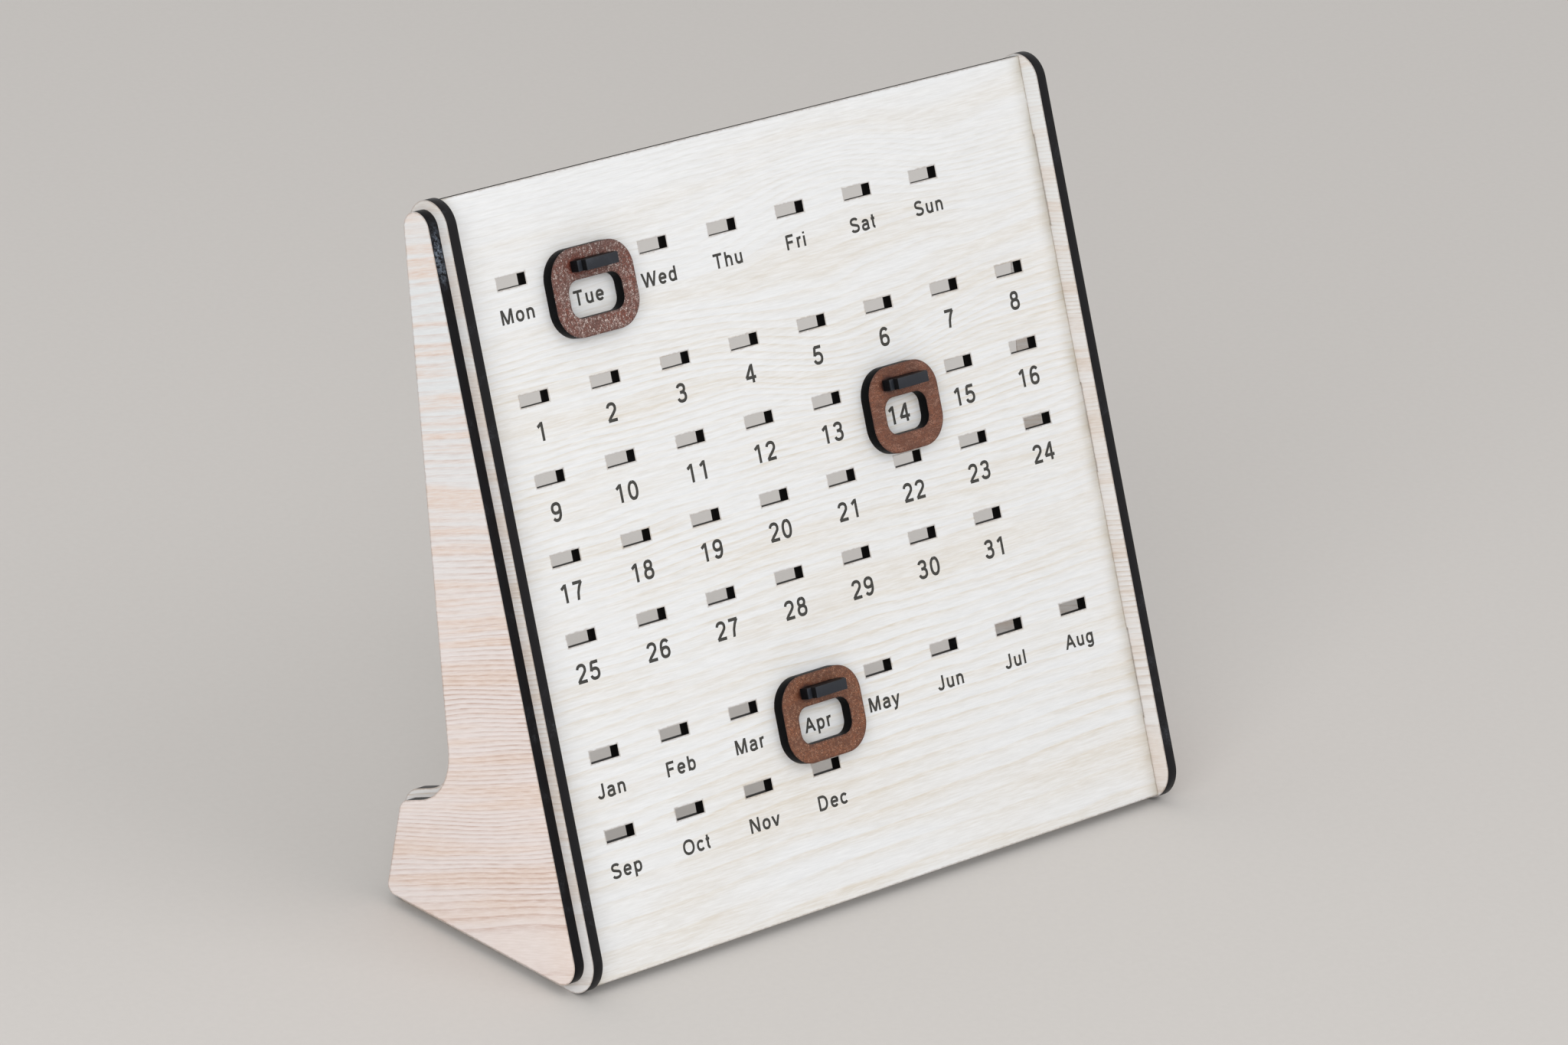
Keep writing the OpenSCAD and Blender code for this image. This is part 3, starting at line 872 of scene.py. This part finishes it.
# %% Glyphs
GLYPHS = {
    "0": (WIDE, [bow(0.388, 0.5, 0.265, TOP - 0.5, 90, 450)]),
    "1": (WIDE, [[(0.455, 0), (0.455, 1)], [(0.43, 0.93), (0.17, 0.75)]]),
    "2": (WIDE, [bow(0.385, 0.7, 0.255, TOP - 0.7, 172, -28)
                 + [(0.47, 0.42), (0.26, 0.24), (0.14, 0.1)], [(0.07, BASE), (0.695, BASE)]]),
    "3": (WIDE, [bow(0.375, 0.735, 0.235, TOP - 0.735, 166, -84) + [(0.28, 0.53)],
                 bow(0.375, 0.3, 0.265, 0.3 - BASE, 84, -168)]),
    "4": (WIDE, [[(0.525, 0), (0.525, 1)], [(0.5, 0.955), (0.075, 0.315)],
                 [(0.03, 0.29), (0.74, 0.29)]]),
    "5": (WIDE, [[(0.2, 0.92), (0.67, 0.92)], [(0.225, 0.95), (0.15, 0.47)],
                 bow(0.375, 0.325, 0.275, 0.325 - BASE, 146, -166)]),
    "6": (WIDE, six),
    "7": (WIDE, [[(0.075, 0.92), (0.7, 0.92)],
                 [(0.65, 0.9), (0.5, 0.68), (0.385, 0.4), (0.325, 0)]]),
    "8": (WIDE, [bow(0.388, 0.74, 0.215, TOP - 0.74, 90, 450),
                 bow(0.388, 0.3, 0.265, 0.3 - BASE, 90, 450)]),
    "9": (WIDE, [[(WIDE - x, 1 - y) for x, y in stroke] for stroke in six]),
    "A": (0.932, [[(0.07, 0), (0.466, 1)], [(0.862, 0), (0.466, 1)], [(0.2, 0.35), (0.73, 0.35)]]),
    "D": (1.009, [[(0.178, 0), (0.178, 1)],
                  [(0.178, TOP), (0.45, TOP)] + bow(0.45, 0.5, 0.4, TOP - 0.5, 88, -88)
                  + [(0.45, BASE), (0.178, BASE)]]),
    "F": (0.853, [[(0.178, 0), (0.178, 1)], [(0.178, TOP), (0.78, TOP)],
                  [(0.178, 0.5), (0.7, 0.5)]]),
    "J": (0.698, [[(0.53, 1)] + bow(0.305, 0.29, 0.225, 0.29 - BASE, 0, -168)]),
    "M": (1.164, [[(0.169, 0), (0.169, 1)], [(0.995, 0), (0.995, 1)], [(0.2, 1), (0.582, 0)],
                  [(0.964, 1), (0.582, 0)]]),
    "N": (1.009, [[(0.165, 0), (0.165, 1)], [(0.844, 0), (0.844, 1)], [(0.185, 1), (0.824, 0)]]),
    "O": (1.087, [bow(0.543, 0.5, 0.42, TOP - 0.5, 90, 450)]),
    "S": (0.932, [bow(0.46, 0.73, 0.3, TOP - 0.73, 22, 232)
                  + bow(0.475, 0.275, 0.325, 0.275 - BASE, 52, -160)]),
    "T": (0.853, [[(0.03, TOP), (0.823, TOP)], [(0.427, 0), (0.427, 1)]]),
    "W": (1.319, [[(0.07, 1), (0.365, 0)], [(0.66, 1), (0.365, 0)], [(0.66, 1), (0.955, 0)],
                  [(1.25, 1), (0.955, 0)]]),
    "a": (WIDE, [bow(0.375, 0.49, 0.235, WAIST - 0.49, 168, 0) + [(0.61, 0.14), (0.665, 0)],
                 [(0.61, 0.42), (0.45, 0.39)] + bow(0.355, 0.21, 0.24, 0.24 - BASE, 88, 330)]),
    "b": (WIDE, [left_stem(0, 1), right_bowl]),
    "c": (0.698, [bow(0.375, bowl_y, 0.265, bowl_h, 36, 324)]),
    "d": (WIDE, [right_stem(0, 1), left_bowl]),
    "e": (WIDE, [[(0.13, 0.375), (0.72, 0.375)], bow(0.388, bowl_y, 0.27, bowl_h, 2, 322)]),
    "g": (WIDE, [left_bowl, [(0.62, SMALL)] + bow(0.37, -0.04, 0.25, 0.18, 0, -162)]),
    "h": (WIDE, [left_stem(0, 1), arch]),
    "i": (0.31, [left_stem(0, SMALL), left_stem(0.86, 1)]),
    "l": (0.31, [left_stem(0, 1)]),
    "n": (WIDE, [left_stem(0, SMALL), arch]),
    "o": (WIDE, [bow(0.388, bowl_y, 0.27, bowl_h, 90, 450)]),
    "p": (WIDE, [left_stem(TAIL, SMALL), right_bowl]),
    "r": (0.465, [left_stem(0, SMALL), bow(0.385, 0.4, 0.23, WAIST - 0.4, 180, 72)]),
    "t": (0.388, [[(0.19, 0.94)] + bow(0.335, 0.21, 0.145, 0.21 - BASE, 180, 272),
                  [(0.03, WAIST), (0.37, WAIST)]]),
    "u": (WIDE, [right_stem(0, SMALL), [(WIDE - x, SMALL - y) for x, y in arch]]),
    "v": (0.698, [[(0.06, SMALL), (0.349, 0)], [(0.638, SMALL), (0.349, 0)]]),
    "y": (0.698, [[(0.06, SMALL), (0.355, 0)],
                  [(0.64, SMALL), (0.35, -0.05), (0.28, -0.18), (0.19, -0.225), (0.08, -0.22)]]),
}
print(len(GLYPHS), "glyphs")

# %% [markdown]
# A stroke becomes a ribbon of small quads as wide as the pen. The ends of steep straight
# strokes are cut level, as in grotesque letters, and all others square. Ribbons overlap
# where strokes meet, so a constrained triangulation joins them: it keeps every triangle
# that lies in any ribbon.


# %% Ribbons
def ribbon(stroke, pen):
    """The quads that a pen of that width covers along a stroke."""
    points = [Vector(p) for p in stroke]
    ways = [(b - a).normalized() for a, b in zip(points, points[1:])]
    lengths = [(b - a).length for a, b in zip(points, points[1:])]
    edges = []
    for i, point in enumerate(points):
        before, after = ways[max(i - 1, 0)], ways[min(i, len(ways) - 1)]
        if i in (0, len(points) - 1):
            way = after
            left = Vector((-way.y, way.x))
            if abs(way.y) > abs(way.x) and lengths[0 if i == 0 else -1] > pen:
                left = Vector((-1 / way.y, 0))
        else:
            mean = (before + after).normalized()
            left = Vector((-mean.y, mean.x)) / mean.dot(after)
        edges.append((point + left * pen / 2, point - left * pen / 2))
    return [(a[0], a[1], b[1], b[0]) for a, b in zip(edges, edges[1:])]


def label_quads(text, cap, spacing):
    """All quads of a label centred on the origin, in metres. cap is its cap height, and
    spacing the extra space between letters."""
    pen = PEN + 2 * SPREAD / cap
    quads, pen_x = [], 0.0
    for letter in text:
        width, strokes = GLYPHS[letter]
        for stroke in strokes:
            for quad in ribbon(stroke, pen):
                quads.append([((p.x + pen_x) * cap, (p.y - 0.5) * cap) for p in quad])
        pen_x += width + spacing / cap
    xs = [x for quad in quads for x, _ in quad]
    middle = (min(xs) + max(xs)) / 2
    return [[(x - middle, y) for x, y in quad] for quad in quads]


def joined(quads):
    """One flat mesh, as (points, triangles), that covers all quads without overlap."""
    points = [Vector(p) for quad in quads for p in quad]
    faces = [[4 * i, 4 * i + 1, 4 * i + 2, 4 * i + 3] for i in range(len(quads))]
    inside_only, nearest = 1, 1e-8  # leave out what lies in no quad, and merge points this near
    points, _, triangles, _, _, sources = delaunay_2d_cdt(
        points, [], faces, inside_only, nearest, True)
    return points, [t for t, source in zip(triangles, sources) if source]


print("one 8 takes", len(joined(label_quads("8", 1, 0))[1]), "triangles")

# %% [markdown]
# ## Labels under the slots
#
# The slots are found in the frame itself: each has one inner face that looks up the slope.
# Read row by row they are the seven weekdays, the days and the months.


# %% Slots in reading order
def slot_sills():
    """Middle of each slot's lower face, as (x, height up the slope), in reading order."""
    mesh = whole_faces("front_panel")
    panel_top = reach("front_panel", UP)[1]
    panel_end = reach("right_inner_side", RIGHT)[0]
    sills = []
    for face in mesh.faces:
        middle = face.calc_center_median()
        inside = middle.dot(UP) < panel_top - BOARD and abs(middle.x) < panel_end - BOARD
        if face.normal.dot(UP) > SAME_WAY and inside:
            sills.append((middle.x, middle.dot(UP)))
    mesh.free()
    return sorted(sills, key=lambda sill: (-round(sill[1] / MM), sill[0]))


sills = slot_sills()
labels = (["Mon", "Tue", "Wed", "Thu", "Fri", "Sat", "Sun"] + [str(day) for day in range(1, 32)]
          + ["Jan", "Feb", "Mar", "Apr", "May", "Jun", "Jul", "Aug", "Sep", "Oct", "Nov", "Dec"])
print(len(sills), "slots and", len(labels), "labels")

# %% [markdown]
# A label is sunk into the panel by a prism of its outline, which reaches from the floor of
# the engraving to above the face. All prisms together make one cutter.

# %% Label cutter
FIGURE_CAP, FIGURE_SPACING = 4.85 * MM, 0.6 * MM
WORD_CAP, WORD_SPACING = 3.8 * MM, 0.55 * MM
LABEL_DROP = 6.85 * MM  # from a slot's lower edge down to the middle of its label, in the top row
LABEL_STRETCH = 0.0037  # the engraving came out this much longer than the grid of slots
DEPTH = 0.2 * MM


def label_prism(text, x, height, mesh):
    """Adds a label's closed prism to the mesh, with its middle at x and that height."""
    is_figure = text.isdigit()
    cap, spacing = (FIGURE_CAP, FIGURE_SPACING) if is_figure else (WORD_CAP, WORD_SPACING)
    points, triangles = joined(label_quads(text, cap, spacing))
    corners = [mesh.verts.new(on_panel(x + p.x, height + p.y, -DEPTH)) for p in points]
    floor = [mesh.faces.new([corners[i] for i in triangle]) for triangle in triangles]
    raised = bmesh.ops.extrude_face_region(mesh, geom=floor)["geom"]
    lifted = [g for g in raised if isinstance(g, bmesh.types.BMVert)]
    bmesh.ops.translate(mesh, verts=lifted, vec=OUT * 2 * DEPTH)


cutter_mesh = bmesh.new()
top_sill = sills[0][1]
for text, (x, sill) in zip(labels, sills):
    label_prism(text, x, sill - LABEL_DROP - LABEL_STRETCH * (top_sill - sill), cutter_mesh)
loose = [v for v in cutter_mesh.verts if not v.link_faces]
bmesh.ops.delete(cutter_mesh, geom=loose, context="VERTS")
bmesh.ops.recalc_face_normals(cutter_mesh, faces=cutter_mesh.faces)
open_edges = sum(not e.is_manifold for e in cutter_mesh.edges)
cutter_data = bpy.data.meshes.new("label_cutter")
cutter_mesh.to_mesh(cutter_data)
cutter_mesh.free()
cutter_data.materials.append(engraving)
cutter = bpy.data.objects.new("label_cutter", cutter_data)
bpy.context.scene.collection.objects.link(cutter)
print(f"label cutter: {len(cutter_data.polygons)} faces, {open_edges} open edges")

# %% [markdown]
# A Boolean cuts the labels, and hands the burnt material over to their floors and walls.
# The cutter goes once it has done its work.

# %% Cut the labels
engrave = panel.modifiers.new("engrave", "BOOLEAN")
engrave.object = cutter
engrave.solver = "EXACT"
engrave.material_mode = "TRANSFER"
evaluated = panel.evaluated_get(bpy.context.evaluated_depsgraph_get())
engraved = bpy.data.meshes.new_from_object(evaluated)
panel.modifiers.clear()
bpy.data.objects.remove(cutter)
engraved_mesh = bmesh.new()
engraved_mesh.from_mesh(engraved)
shade(engraved_mesh)
engraved_mesh.to_mesh(engraved)
engraved_mesh.free()
panel.data = engraved
print(f"engraved panel: {len(engraved.polygons)} faces, materials",
      [m.name for m in engraved.materials])

# %% [markdown]
# ## Floor
#
# A plain pale floor of matt card, with a trace of flock so that it isn't dead flat in tone.

# %% Floor
FLOOR_HALF = 6.0  # metres from the stand to the floor's edge
FLOCK = 2 * MM
floor_mesh = bmesh.new()
bmesh.ops.create_grid(floor_mesh, x_segments=8, y_segments=8, size=FLOOR_HALF)
floor_data = bpy.data.meshes.new("floor")
floor_mesh.to_mesh(floor_data)
floor_mesh.free()
floor = bpy.data.objects.new("floor", floor_data)
bpy.context.scene.collection.objects.link(floor)
card, tree, shader = start_material("matt_card", Roughness=0.9, IOR=1.4, Specular_IOR_Level=0.2)
place = add(tree, "TexCoord").outputs["Object"]
flock = add(tree, "TexNoise", {"Vector": place, "Scale": 1 / FLOCK, "Detail": 2.0})
tone = add(tree, "Mix", {0: flock.outputs["Fac"], 6: colour("#D2CECA"), 7: colour("#D6D2CE")},
           data_type="RGBA")
tree.links.new(tone.outputs[2], shader.inputs["Base Color"])
floor_data.materials.append(card)


# %% [markdown]
# ## Light
#
# The light is that of a white light tent: a pale surround does most of it, a large soft
# source from the left lights the side plate and gives the rings their shade, and a weaker
# one stands over the reader's right shoulder.


# %% Light
STAND_MIDDLE = Vector((0, 0, 90 * MM))


def softbox(name, place, size, watts):
    """A square area light at place, in metres, that looks at the middle of the stand."""
    lamp = bpy.data.lights.new(name, "AREA")
    lamp.shape = "SQUARE"
    lamp.size = size
    lamp.energy = watts
    holder = bpy.data.objects.new(name, lamp)
    holder.location = place
    holder.rotation_euler = (STAND_MIDDLE - Vector(place)).to_track_quat("-Z", "Y").to_euler()
    bpy.context.scene.collection.objects.link(holder)
    print(f"{name}: {watts} W")


softbox("shoulder_softbox", place=(0.5, -1.3, 1.5), size=1.2, watts=5)
softbox("side_softbox", place=(-1.5, -0.9, 0.9), size=1.2, watts=15.8)
world = bpy.data.worlds.new("tent")
world.use_nodes = True
world.node_tree.nodes.clear()
surround = add(world.node_tree, "Background", {"Color": colour("#FFFFFF"), "Strength": 0.68})
add(world.node_tree, "OutputWorld", {"Surface": surround.outputs[0]})
bpy.context.scene.world = world
bpy.context.scene.view_settings.view_transform = "Standard"

# %% [markdown]
# ## Camera
#
# A long lens from two metres away keeps the columns of slots nearly parallel, while the view
# from the left and above shows the double side and the pegs standing out of their rings.

# %% Camera
AIM = Vector((-4.85, 2.95, 91.43)) * MM
DISTANCE = 2047.1 * MM
HEADING = math.radians(45.07)  # from +Y towards +X
TILT = math.radians(22.47)  # down from level
ROLL = math.radians(4.50)
LENS, SENSOR_WIDTH = 182.06, 36  # in mm

gaze = Vector((math.sin(HEADING) * math.cos(TILT), math.cos(HEADING) * math.cos(TILT),
               -math.sin(TILT)))
lens = bpy.data.cameras.new("camera")
lens.lens = LENS
lens.sensor_width = SENSOR_WIDTH
lens.clip_start, lens.clip_end = 0.05, 50
camera = bpy.data.objects.new("camera", lens)
camera.matrix_world = (Matrix.Translation(AIM - gaze * DISTANCE)
                       @ gaze.to_track_quat("-Z", "Y").to_matrix().to_4x4()
                       @ Matrix.Rotation(ROLL, 4, "Z"))
bpy.context.scene.collection.objects.link(camera)
bpy.context.scene.camera = camera
print("camera at", [round(step, 3) for step in camera.matrix_world.translation])
